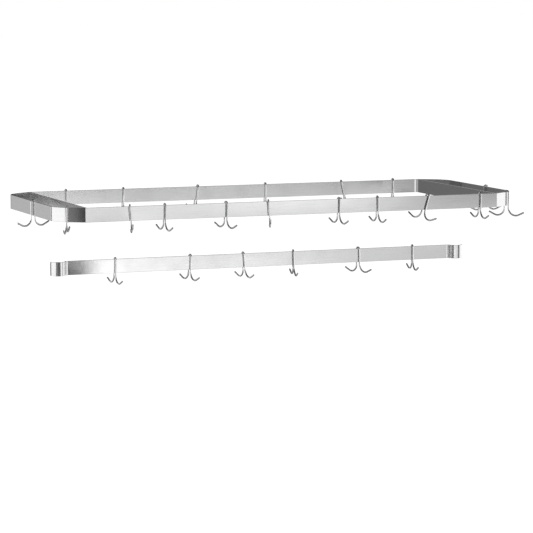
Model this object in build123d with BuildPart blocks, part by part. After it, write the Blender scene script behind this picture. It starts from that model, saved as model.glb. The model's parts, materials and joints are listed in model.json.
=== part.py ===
from build123d import *
import math
import os

# Utensil rack of flat bar set on edge: a closed ring with a looped end at each side, a lower bar
# under the ring's middle, and double-prong wire hooks that slide along the bars.
# Millimetres. X runs along the rack, -Y is its front and Z is up. The origin is midway between
# the axes of the two posts that carry the rack, level with the lower bar's bottom edge.

# Flat bar
bar_height = 50.8
bar_thickness = 4.8
bar_edge_radius = 0.8

# Ring: its straights, and the loops beyond the four bends
straight_length = 1580.0
ring_width = 686.0
ring_rise = 222.0
loop_reach = 96.0
loop_angle = 32.0
loop_corner_radius = 80.0
cross_bar_inset = 4.0

# Seats for the posts: a half-round saddle welded to each end of the lower bar
post_diameter = 48.3
saddle_wrap = 165.0
saddle_joggle_radius = 12.0
saddle_corner_radius = 8.0

# Hook: one wire bent over the bar, with a leg on each side of it and two prongs that turn opposite ways
wire_diameter = 6.35
hook_play = 2.0
hook_clearance = 0.3
leg_below_bar = 8.0
prong_radius = 28.0
prong_tip_angle = 25.0
prong_tip_length = 24.0
tip_rounding = 2.2

# Hooks on each bar, from left to right: place along the bar from the left bend, or from the right bend
# where it is negative, turn about the upright as a share of the hook's free turn (front leg towards +X is
# positive), and swing of the prongs towards +X in degrees
front_hooks = [
    (162, -0.55, 5),
    (290, 0.14, -1),
    (519, 0.36, -1),
    (680, -0.59, 5),
    (-629, 0.18, 0),
    (-478, 0.07, 1),
    (-279, 0.62, -16),
    (-67, 0.08, -1),
]
rear_hooks = [
    (143, 0.08, 0),
    (367, 0.0, -1),
    (663, 0.24, -8),
    (-642, 0.08, 0),
    (-326, -0.24, 13),
    (-109, 0.0, 0),
]
lower_hooks = [
    (220, 0.12, -1),
    (508, 0.29, -2),
    (715, 0.24, 4),
    (-666, -0.25, 2),
    (-404, 0.55, 1),
    (-181, -0.15, 1),
]

# Hooks on the loops: along the left slant from its bend, along the ends from the middle towards +Y,
# and round the right front corner from the end of the slant in degrees
left_slant_hook_at = 65.0
left_slant_hook_turn = 0.15
left_slant_hook_swing = -2.0
left_end_hook_at = -26.0
left_end_hook_turn = 0.48
right_end_hook_at = -63.0
right_corner_hook_at = 4.2
right_corner_hook_turn = 0.17

# Middle lines and heights that follow from the sizes above
bend_x = straight_length / 2
side_y = ring_width / 2 - bar_thickness / 2
end_reach = loop_reach - bar_thickness / 2
end_x = bend_x + end_reach
corner_y = side_y - end_reach * math.tan(math.radians(loop_angle))
post_x = bend_x - cross_bar_inset
ring_middle_z = ring_rise + bar_height / 2
ring_top_z = ring_rise + bar_height
lower_middle_z = bar_height / 2
slant_direction = Vector(math.cos(math.radians(loop_angle)), math.sin(math.radians(loop_angle)), 0)

# Hook sizes that follow from the wire and the bar
wire_radius = wire_diameter / 2
bend_inner_radius = bar_thickness / 2 + hook_play
bend_radius = bend_inner_radius + wire_radius
seat_reach = bend_inner_radius - hook_clearance
seat_depth = math.sqrt(seat_reach**2 - (bar_thickness / 2) ** 2)
leg_length = bar_height - seat_depth + leg_below_bar
free_turn = math.acos((bar_thickness / 2 + wire_radius + hook_clearance) / bend_radius)

os.makedirs("parts", exist_ok=True)


def save(part, name):
    part.label = name
    export_step(part, f"parts/{name}.step")


def bar_section(path):
    """Rounded flat-bar section, on edge, square to the start of a level path."""
    with BuildSketch(Plane(origin=path @ 0, x_dir=(0, 0, 1), z_dir=path % 0)) as section:
        RectangleRounded(bar_height, bar_thickness, bar_edge_radius)
    return section.sketch


def mitre(side_x, side_y_sign):
    """Plane that halves the bend between a long side and a loop, facing the loop."""
    half_turn = math.radians(loop_angle / 2)
    facing = (side_x * math.cos(half_turn), -side_y_sign * math.sin(half_turn), 0)
    return Plane(origin=(side_x * bend_x, side_y_sign * side_y, 0), z_dir=facing)


# Long sides of the ring, mitred at the bends
for bar_name, y_sign in (("front_bar", -1), ("rear_bar", 1)):
    run_over = bar_thickness
    with BuildPart() as long_bar:
        with BuildLine() as run:
            Line(
                (-bend_x - run_over, y_sign * side_y, ring_middle_z),
                (bend_x + run_over, y_sign * side_y, ring_middle_z),
            )
        sweep(bar_section(run.line), path=run.line)
        split(bisect_by=mitre(-1, y_sign), keep=Keep.BOTTOM)
        split(bisect_by=mitre(1, y_sign), keep=Keep.BOTTOM)
    save(long_bar.part, bar_name)

# End loops: slant, rounded corner, end, rounded corner and slant of one bent bar
for loop_name, x_sign in (("left_end_loop", -1), ("right_end_loop", 1)):
    run_over = bar_thickness
    start_x = bend_x - run_over * slant_direction.X
    start_y = side_y + run_over * slant_direction.Y
    with BuildPart() as end_loop:
        with BuildLine() as bent:
            FilletPolyline(
                (x_sign * start_x, -start_y, ring_middle_z),
                (x_sign * end_x, -corner_y, ring_middle_z),
                (x_sign * end_x, corner_y, ring_middle_z),
                (x_sign * start_x, start_y, ring_middle_z),
                radius=loop_corner_radius,
            )
        sweep(bar_section(bent.wire()), path=bent.wire())
        split(bisect_by=mitre(x_sign, -1), keep=Keep.TOP)
        split(bisect_by=mitre(x_sign, 1), keep=Keep.TOP)
    save(end_loop.part, loop_name)

# Cross bars between the long sides, over the posts
for bar_name, x_sign in (("left_cross_bar", -1), ("right_cross_bar", 1)):
    half_run = side_y - bar_thickness / 2
    with BuildPart() as cross_bar:
        with BuildLine() as run:
            Line((x_sign * post_x, -half_run, ring_middle_z), (x_sign * post_x, half_run, ring_middle_z))
        sweep(bar_section(run.line), path=run.line)
    save(cross_bar.part, bar_name)

# Lower bar between the saddles
saddle_radius = post_diameter / 2 + bar_thickness / 2
joggle_run = math.sqrt((saddle_radius + saddle_joggle_radius) ** 2 - saddle_joggle_radius**2)
joggle_x = post_x - joggle_run
with BuildPart() as lower_bar:
    with BuildLine() as run:
        Line((-joggle_x, 0, lower_middle_z), (joggle_x, 0, lower_middle_z))
    sweep(bar_section(run.line), path=run.line)
save(lower_bar.part, "lower_bar")

# Saddles: joggled forward from the lower bar's end, then bent round the front of the post
joggle_angle = math.degrees(math.atan2(saddle_joggle_radius, joggle_run))
for saddle_name, x_sign in (("left_saddle", -1), ("right_saddle", 1)):
    with BuildPart() as saddle:
        with BuildLine(Plane.XY.offset(lower_middle_z)) as bent:
            CenterArc((joggle_x, -saddle_joggle_radius), saddle_joggle_radius, 90, joggle_angle - 90)
            CenterArc((post_x, 0), saddle_radius, 180 + joggle_angle, saddle_wrap)
        with BuildSketch(Plane(origin=bent.wire() @ 0, x_dir=(0, 0, 1), z_dir=bent.wire() % 0)):
            Rectangle(bar_height, bar_thickness)
        sweep(path=bent.wire())
        upright_faces = saddle.faces().filter_by(GeomType.PLANE).filter_by(Axis.Z, reverse=True)
        free_end = upright_faces.sort_by(Axis.X)[-1]
        fillet(free_end.edges().filter_by(Axis.Z, reverse=True), saddle_corner_radius)
        rim = saddle.faces().filter_by(Axis.Z).edges().sort_by(Axis.X)
        fillet(rim[2:], bar_edge_radius)
        if x_sign < 0:
            mirror(about=Plane.YZ, mode=Mode.REPLACE)
    save(saddle.part, saddle_name)


def hook_plane(seat, heading, turn=0.0, swing=0.0):
    """Plane at the middle of a hook's bend, for a hook that hangs on a bar's edge at seat.

    heading turns the hook's outer leg from the front (-Y) to the side of the bar where it hangs.
    """
    yaw = turn * free_turn
    tilt = math.radians(swing)
    sink = math.sqrt(seat_reach**2 - (bar_thickness / 2 / math.cos(yaw)) ** 2) * math.cos(tilt)
    lift = bend_radius * abs(math.sin(yaw) * math.sin(tilt))
    origin = Vector(*seat) + Vector(0, 0, lift - sink)
    return Plane(origin).rotated((heading, -swing, math.degrees(yaw)), Intrinsic.ZYZ)


def prong(facing):
    """Tip, start of the tip, lowest point and leg's end of one prong; facing is -1 out, 1 in."""
    tip_turn = math.radians(prong_tip_angle)
    centre_y = facing * (bend_radius + prong_radius)
    rise_y = centre_y + facing * prong_radius * math.sin(tip_turn)
    rise_z = -leg_length - prong_radius * math.cos(tip_turn)
    tip_y = rise_y + facing * prong_tip_length * math.cos(tip_turn)
    tip_z = rise_z + prong_tip_length * math.sin(tip_turn)
    return (
        (0, tip_y, tip_z),
        (0, rise_y, rise_z),
        (0, centre_y, -leg_length - prong_radius),
        (0, facing * bend_radius, -leg_length),
    )


def make_hook(name, plane):
    out_tip, out_rise, out_low, out_leg = prong(-1)
    in_tip, in_rise, in_low, in_leg = prong(1)
    out_shoulder = (0, -bend_radius, 0)
    in_shoulder = (0, bend_radius, 0)
    with BuildPart() as hook:
        with BuildLine(plane) as wire:
            Line(out_tip, out_rise)
            ThreePointArc(out_rise, out_low, out_leg)
            Line(out_leg, out_shoulder)
            ThreePointArc(out_shoulder, (0, 0, bend_radius), in_shoulder)
            Line(in_shoulder, in_leg)
            ThreePointArc(in_leg, in_low, in_rise)
            Line(in_rise, in_tip)
        with BuildSketch(Plane(origin=wire.wire() @ 0, z_dir=wire.wire() % 0)):
            Circle(wire_radius)
        sweep(path=wire.wire())
        fillet(hook.faces().filter_by(GeomType.PLANE).edges(), tip_rounding)
    save(hook.part, name)


# Hooks on the straight bars
straight_runs = (
    ("front_hook", front_hooks, -side_y, ring_top_z),
    ("rear_hook", rear_hooks, side_y, ring_top_z),
    ("lower_hook", lower_hooks, 0, bar_height),
)
for run_name, hooks, bar_y, top_z in straight_runs:
    for number, (along, turn, swing) in enumerate(hooks, start=1):
        hook_x = along - math.copysign(bend_x, along)
        make_hook(f"{run_name}_{number}", hook_plane((hook_x, bar_y, top_z), 0, turn, swing))

# Hooks on the loops, outer legs to the outside
slant_seat = Vector(-bend_x, -side_y, ring_top_z)
slant_seat += Vector(-slant_direction.X, slant_direction.Y, 0) * left_slant_hook_at
slant_plane = hook_plane(slant_seat, -loop_angle, left_slant_hook_turn, left_slant_hook_swing)
make_hook("left_slant_hook", slant_plane)
make_hook("left_end_hook", hook_plane((-end_x, left_end_hook_at, ring_top_z), -90, left_end_hook_turn))
make_hook("right_end_hook", hook_plane((end_x, right_end_hook_at, ring_top_z), 90))

corner_turn = 90 - loop_angle
corner_tangent = loop_corner_radius * math.tan(math.radians(corner_turn / 2))
corner_centre = Vector(end_x - loop_corner_radius, -corner_y + corner_tangent, ring_top_z)
corner_heading = loop_angle + right_corner_hook_at
corner_out = Vector(math.sin(math.radians(corner_heading)), -math.cos(math.radians(corner_heading)), 0)
corner_seat = corner_centre + corner_out * loop_corner_radius
make_hook("right_corner_hook", hook_plane(corner_seat, corner_heading, right_corner_hook_turn))
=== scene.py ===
import json
import math

import bpy
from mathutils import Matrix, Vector

# Utensil rack: brushed flat bar and plated wire hooks in a white studio.
# Metres and degrees, in the frame of the part: X along the rack, -Y its front, Z up.

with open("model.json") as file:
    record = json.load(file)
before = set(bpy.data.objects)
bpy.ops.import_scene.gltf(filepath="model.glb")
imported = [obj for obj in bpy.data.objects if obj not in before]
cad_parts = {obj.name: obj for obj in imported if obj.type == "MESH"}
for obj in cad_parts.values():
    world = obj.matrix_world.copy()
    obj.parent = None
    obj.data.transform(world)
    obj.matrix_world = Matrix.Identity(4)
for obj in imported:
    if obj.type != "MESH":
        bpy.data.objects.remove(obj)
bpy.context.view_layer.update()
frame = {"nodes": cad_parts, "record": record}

# Camera
image_pixels = 533
focal_pixels = 2696.6
sensor_width = 36.0
camera_place = (-3.6336, -9.1875, 1.1354)
camera_yaw = 21.675
camera_pitch = 6.560

# Stage: the level that the posts would stand on, and how bright its white is
floor_level = -1.0
floor_half_width = 60.0
white = (1.0, 1.0, 1.0, 1.0)
floor_colour = (0.86, 0.86, 0.86, 1.0)
floor_roughness = 0.9
floor_glow = 0.42
room_light = 0.75

# Soft box above the rack
lamp_place = (-0.6, -0.8, 3.2)
lamp_aim = (0.0, 0.0, 0.1)
lamp_width = 3.0
lamp_depth = 2.2
lamp_watts = 60.0

# Part of a noise's range that its colours and numbers spread over
noise_low = 0.3
noise_high = 0.7

# Brushed bar: streaks per metre along the bar and across it
streaks_along = 9.0
streaks_across = 1400.0
streak_detail = 3.0
mottle_scale = 14.0
mottle_detail = 4.0
steel_dark = (0.60, 0.60, 0.605, 1.0)
steel_light = (0.70, 0.70, 0.70, 1.0)
steel_roughness = (0.15, 0.19)
brush_depth = 0.00002

# Gloss of the bar spreads across the brush, a quarter turn from its line
steel_anisotropy = 0.85
spread_across_brush = 0.25

# The brush runs square to this direction, which is tipped so that level faces have a brush line too
brush_upright = (0.001, 0.0, 1.0)

# Plated wire: fine ripple of the plating, longer up the wire, and a faint cloud
ripple_scale = 320.0
ripple_stretch = 6.0
ripple_detail = 2.0
ripple_depth = 0.00003
cloud_scale = 60.0
cloud_detail = 3.0
plating_dark = (0.74, 0.74, 0.75, 1.0)
plating_light = (0.86, 0.86, 0.86, 1.0)
plating_roughness = (0.07, 0.14)

# Cards that only the rack's gloss sees. Tones go from left to right as seen from the rack, and 1 is white.
# Azimuths count to the right of straight ahead of its front.

# Cards on the studio's circle, in three rows: azimuths from and to, tones
studio_radius = 5.0
low_row = (-1.0, 1.3)
low_cards = {
    "front_panel": (5.4, 36.6, (1.3, 1.15, 1.45, 0.67, 0.35)),
    "front_right_dark": (37, 57, (0.15, 0.15)),
    "right_panel": (58, 134, (1.45, 1.45)),
    "rear_right": (135, 178, (0.9, 0.5, 0.1, 0.1)),
    "rear_left": (-181, -142, (0.3, 0.75)),
    "left_dark": (-141, -59, (0.12, 0.12)),
    "front_left_dark": (-58, -34, (0.11, 0.18)),
    "camera_side": (-33, 5, (0.2, 0.1, 0.12, 0.5)),
}
middle_row = (1.3, 2.6)
middle_cards = {
    "middle_left": (-141, -59, (0.15, 0.15)),
    "middle_front_left": (-58, -26, (0.1, 0.1)),
    "middle_front": (-25, 60, (0.2, 0.2)),
    "middle_right": (61, 134, (0.2, 0.2)),
    "middle_rear": (135, 218, (0.1, 0.1)),
}
high_row = (2.6, 6.0)
high_cards = {
    "high_left": (-120, -26, (0.1, 0.1)),
    "high_front": (-25, 60, (0.1, 0.1)),
    "high_right": (61, 134, (0.1, 0.1)),
    "high_rear": (135, 239, (0.1, 0.1)),
}

# Two cards that the lower bar mirrors stand edge to edge at one distance
lower_y = -1.4
lower_z = -0.17
lower_height = 0.32

# Thin cards stand just off the right cross bar's faces, at X 0.7836 and 0.7884, and off the inner face
# of the left loop's end, at X -0.8812. They paint light and shade into what those faces mirror: a painted
# highlight and painted light on the rear bar's end at the right corner, and painted shade on the right
# cross bar's faces and on the left loop's inner face.
ring_middle = 0.2474
thin_height = 0.05

# Cards near the rack: azimuth that the card is square to, middle, width, height, tones
near_cards = {
    "left_end_panel": (-90, (-1.4, -0.15, 0.17), 1.08, 0.6, (1.45, 1.45)),
    "slant_shade": (-46.6, (-1.073, -0.56, 0.214), 0.12, 0.2, (0.14, 0.24, 0.2, 0.07, 0.07)),
    "rear_dark": (180, (0.2, 2.7, 0.7), 2.8, 3.4, (0.7, 0.3, 0.08, 0.12, 0.7)),
    "rear_flag": (0, (0.41, -0.9, 0.07), 1.68, 0.18, (1.7, 0.82, 0.72, 0.88, 1.35)),
    # Painted highlight and painted light on the rear bar's end at the right corner
    "corner_glint": (90, (0.7805, 0.33, ring_middle), 0.016, thin_height, (1.15, 1.15)),
    "corner_light": (90, (0.7815, 0.175, ring_middle), 0.324, thin_height, (0.75, 0.55)),
    # Painted shade on the right cross bar's inner and outer faces
    "corner_dark": (90, (0.7825, 0.0, ring_middle), 0.66, thin_height, (0.19, 0.19)),
    "end_dark": (90, (0.79, 0.0, ring_middle), 0.66, thin_height, (0.19, 0.19)),
    # Painted shade on the left loop's inner face
    "left_inner_shade": (90, (-0.8795, 0.0, ring_middle), 0.47, thin_height, (0.3, 0.3)),
    "lower_dark": (0, (-0.414, lower_y, lower_z), 0.412, lower_height, (0.06, 0.06)),
    "lower_near_dark": (0, (-0.68, -0.75, -0.066), 0.45, 0.16, (0.03, 0.03)),
    "lower_fill": (0, (0.621, lower_y, lower_z), 1.658, lower_height, (2.4, 1.6, 1.48, 1.04, 0.85)),
}

# Level cards: two corners, height, tone
level_cards = {
    "ceiling": ((-2.8, -2.8), (2.8, 2.8), 3.6, 0.08),
    "ground": ((-1.5, -1.2), (1.5, 1.2), -0.95, 0.2),
    "outer_ground": ((-3.4, -4.4), (3.4, 2.6), -0.97, 0.6),
}


def new_material(name):
    """Material with a metallic surface; gives its node tree and that surface's node."""
    material = bpy.data.materials.new(name)
    material.use_nodes = True
    tree = material.node_tree
    surface = tree.nodes["Principled BSDF"]
    surface.inputs["Metallic"].default_value = 1.0
    return material, tree, surface


def scaled_noise(tree, scale, detail):
    """Noise fixed to the piece, with its own scale along X, Y and Z."""
    place = tree.nodes.new("ShaderNodeTexCoord")
    stretch = tree.nodes.new("ShaderNodeMapping")
    noise = tree.nodes.new("ShaderNodeTexNoise")
    stretch.inputs["Scale"].default_value = scale
    noise.inputs["Scale"].default_value = 1.0
    noise.inputs["Detail"].default_value = detail
    tree.links.new(place.outputs["Object"], stretch.inputs["Vector"])
    tree.links.new(stretch.outputs["Vector"], noise.inputs["Vector"])
    return noise.outputs["Fac"]


def colour_range(tree, value, low_colour, high_colour):
    """Colour that goes from one to another with a noise."""
    ramp = tree.nodes.new("ShaderNodeValToRGB")
    ramp.color_ramp.elements[0].position = noise_low
    ramp.color_ramp.elements[0].color = low_colour
    ramp.color_ramp.elements[1].position = noise_high
    ramp.color_ramp.elements[1].color = high_colour
    tree.links.new(value, ramp.inputs["Fac"])
    return ramp.outputs["Color"]


def number_range(tree, value, low, high):
    """Number that goes from one to another with a noise."""
    spread = tree.nodes.new("ShaderNodeMapRange")
    spread.inputs["From Min"].default_value = noise_low
    spread.inputs["From Max"].default_value = noise_high
    spread.inputs["To Min"].default_value = low
    spread.inputs["To Max"].default_value = high
    tree.links.new(value, spread.inputs["Value"])
    return spread.outputs["Result"]


def bumped(tree, surface, height, depth):
    """Fine relief on a surface, from a noise."""
    bump = tree.nodes.new("ShaderNodeBump")
    bump.inputs["Strength"].default_value = 1.0
    bump.inputs["Distance"].default_value = depth
    tree.links.new(height, bump.inputs["Height"])
    tree.links.new(bump.outputs["Normal"], surface.inputs["Normal"])


def brushed_steel():
    """Stainless bar brushed along its length, with a faint mottle from handling."""
    material, tree, surface = new_material("brushed_steel")
    streaks = scaled_noise(tree, (streaks_along, streaks_along, streaks_across), streak_detail)
    mottle = scaled_noise(tree, (mottle_scale, mottle_scale, mottle_scale), mottle_detail)
    tree.links.new(colour_range(tree, streaks, steel_dark, steel_light), surface.inputs["Base Color"])
    tree.links.new(number_range(tree, mottle, *steel_roughness), surface.inputs["Roughness"])
    surface.inputs["Anisotropic"].default_value = steel_anisotropy
    surface.inputs["Anisotropic Rotation"].default_value = spread_across_brush
    bumped(tree, surface, streaks, brush_depth)

    facing = tree.nodes.new("ShaderNodeNewGeometry")
    brush_line = tree.nodes.new("ShaderNodeVectorMath")
    brush_line.operation = "CROSS_PRODUCT"
    brush_line.inputs[0].default_value = brush_upright
    tree.links.new(facing.outputs["Normal"], brush_line.inputs[1])
    tree.links.new(brush_line.outputs["Vector"], surface.inputs["Tangent"])
    return material


def plated_wire():
    """Bright plated wire with the slight ripple of drawn wire under its plating."""
    material, tree, surface = new_material("plated_wire")
    ripple = scaled_noise(tree, (ripple_scale, ripple_scale, ripple_scale / ripple_stretch), ripple_detail)
    cloud = scaled_noise(tree, (cloud_scale, cloud_scale, cloud_scale), cloud_detail)
    tree.links.new(colour_range(tree, cloud, plating_dark, plating_light), surface.inputs["Base Color"])
    tree.links.new(number_range(tree, cloud, *plating_roughness), surface.inputs["Roughness"])
    bumped(tree, surface, ripple, ripple_depth)
    return material


def seen_directly(tree):
    """1 for rays from the camera, from gloss or through glass, and 0 for light that falls on things."""
    path = tree.nodes.new("ShaderNodeLightPath")
    either = tree.nodes.new("ShaderNodeMath")
    either.operation = "MAXIMUM"
    tree.links.new(path.outputs["Is Camera Ray"], either.inputs[0])
    tree.links.new(path.outputs["Is Glossy Ray"], either.inputs[1])
    every = tree.nodes.new("ShaderNodeMath")
    every.operation = "MAXIMUM"
    tree.links.new(either.outputs["Value"], every.inputs[0])
    tree.links.new(path.outputs["Is Transmission Ray"], every.inputs[1])
    return every.outputs["Value"]


def white_room():
    """World that is white where it is seen, and lights things at a plain level."""
    world = bpy.data.worlds.new("white_room")
    world.use_nodes = True
    tree = world.node_tree
    background = tree.nodes["Background"]
    background.inputs["Color"].default_value = white
    strength = tree.nodes.new("ShaderNodeMapRange")
    strength.inputs["To Min"].default_value = room_light
    strength.inputs["To Max"].default_value = 1.0
    tree.links.new(seen_directly(tree), strength.inputs["Value"])
    tree.links.new(strength.outputs["Result"], background.inputs["Strength"])
    bpy.context.scene.world = world


def level_corners(low_corner, high_corner, height):
    """Corners of a level rectangle, in order round it."""
    left, front = low_corner
    right, back = high_corner
    return [(left, front, height), (right, front, height), (right, back, height), (left, back, height)]


def pale_floor():
    """Level floor whose white meets the room's, and which keeps the shadow that falls on it."""
    mesh = bpy.data.meshes.new("floor")
    half = floor_half_width
    mesh.from_pydata(level_corners((-half, -half), (half, half), floor_level), [], [(0, 1, 2, 3)])
    floor = bpy.data.objects.new("floor", mesh)
    bpy.context.scene.collection.objects.link(floor)
    material = bpy.data.materials.new("pale_floor")
    material.use_nodes = True
    tree = material.node_tree
    surface = tree.nodes["Principled BSDF"]
    surface.inputs["Base Color"].default_value = floor_colour
    surface.inputs["Roughness"].default_value = floor_roughness
    surface.inputs["Specular IOR Level"].default_value = 0.0
    surface.inputs["Emission Color"].default_value = white
    glow = tree.nodes.new("ShaderNodeMath")
    glow.operation = "MULTIPLY"
    glow.inputs[1].default_value = floor_glow
    tree.links.new(seen_directly(tree), glow.inputs[0])
    tree.links.new(glow.outputs["Value"], surface.inputs["Emission Strength"])
    mesh.materials.append(material)


def card_object(name, corners):
    """Rectangle that only gloss sees, with a measure of 0 to 1 along it.

    Gives the node tree of its material and the glow in it.
    """
    mesh = bpy.data.meshes.new(name)
    mesh.from_pydata(corners, [], [(0, 1, 2, 3)])
    uv = mesh.uv_layers.new(name="across")
    for loop, across in enumerate((0.0, 1.0, 1.0, 0.0)):
        uv.data[loop].uv = (across, 0.5)
    card = bpy.data.objects.new(name, mesh)
    bpy.context.scene.collection.objects.link(card)
    card.visible_camera = False
    card.visible_diffuse = False
    card.visible_shadow = False
    material = bpy.data.materials.new(name)
    material.use_nodes = True
    tree = material.node_tree
    tree.nodes.remove(tree.nodes["Principled BSDF"])
    glow = tree.nodes.new("ShaderNodeEmission")
    tree.links.new(glow.outputs["Emission"], tree.nodes["Material Output"].inputs["Surface"])
    mesh.materials.append(material)
    return tree, glow


def upright_card(name, azimuth, middle, width, height, tones):
    """Card that stands square to an azimuth, with its tones evenly spaced along it."""
    angle = math.radians(azimuth)
    half = Vector((math.cos(angle), math.sin(angle), 0)) * (width / 2)
    up = Vector((0, 0, height / 2))
    middle = Vector(middle)
    corners = [middle - half - up, middle + half - up, middle + half + up, middle - half + up]
    tree, glow = card_object(name, corners)
    place = tree.nodes.new("ShaderNodeUVMap")
    split = tree.nodes.new("ShaderNodeSeparateXYZ")
    curve = tree.nodes.new("ShaderNodeFloatCurve")
    place.uv_map = "across"
    tree.links.new(place.outputs["UV"], split.inputs["Vector"])
    tree.links.new(split.outputs["X"], curve.inputs["Value"])
    tree.links.new(curve.outputs["Value"], glow.inputs["Strength"])
    curve.mapping.use_clip = False
    line = curve.mapping.curves[0]
    line.points[0].location = (0.0, tones[0])
    line.points[1].location = (1.0, tones[-1])
    for step, tone in enumerate(tones[1:-1], start=1):
        line.points.new(step / (len(tones) - 1), tone)
    curve.mapping.update()


def circle_card(name, from_azimuth, to_azimuth, heights, tones):
    """Upright card on the studio's circle, between two azimuths and two heights."""
    azimuth = (from_azimuth + to_azimuth) / 2
    angle = math.radians(azimuth)
    half_span = math.radians((to_azimuth - from_azimuth) / 2)
    low, high = heights
    middle = (studio_radius * math.sin(angle), -studio_radius * math.cos(angle), (low + high) / 2)
    upright_card(name, azimuth, middle, 2 * studio_radius * math.tan(half_span), high - low, tones)


def level_card(name, low_corner, high_corner, height, tone):
    """Level card above or below the rack, between two corners."""
    tree, glow = card_object(name, level_corners(low_corner, high_corner, height))
    glow.inputs["Strength"].default_value = tone


def soft_box():
    """Wide lamp above the rack, which gloss doesn't see."""
    lamp = bpy.data.lights.new("overhead", "AREA")
    lamp.shape = "RECTANGLE"
    lamp.size = lamp_width
    lamp.size_y = lamp_depth
    lamp.energy = lamp_watts
    box = bpy.data.objects.new("overhead", lamp)
    box.location = lamp_place
    box.rotation_euler = (Vector(lamp_aim) - Vector(lamp_place)).to_track_quat("-Z", "Y").to_euler()
    box.visible_camera = False
    box.visible_glossy = False
    bpy.context.scene.collection.objects.link(box)


def photo_camera():
    """Camera at the photograph's place, level from side to side."""
    data = bpy.data.cameras.new("camera")
    data.sensor_width = sensor_width
    data.lens = focal_pixels * sensor_width / image_pixels
    camera = bpy.data.objects.new("camera", data)
    camera.location = camera_place
    camera.rotation_euler = (math.radians(90 - camera_pitch), 0, -math.radians(camera_yaw))
    bpy.context.scene.collection.objects.link(camera)
    bpy.context.scene.camera = camera


# Finish of every piece
steel = brushed_steel()
plating = plated_wire()
finishes = {"brushed_bar": steel, "plated_wire": plating}
for subpart in frame["record"]["subparts"]:
    piece = frame["nodes"][subpart["node"]]
    piece.data.materials.clear()
    piece.data.materials.append(finishes[subpart["material_slot"]])

# Studio
white_room()
pale_floor()
soft_box()
for heights, cards in ((low_row, low_cards), (middle_row, middle_cards), (high_row, high_cards)):
    for name, (from_azimuth, to_azimuth, tones) in cards.items():
        circle_card(name, from_azimuth, to_azimuth, heights, tones)
for name, (azimuth, middle, width, height, tones) in near_cards.items():
    upright_card(name, azimuth, middle, width, height, tones)
for name, (low_corner, high_corner, height, tone) in level_cards.items():
    level_card(name, low_corner, high_corner, height, tone)
photo_camera()
bpy.context.scene.view_settings.view_transform = "Standard"
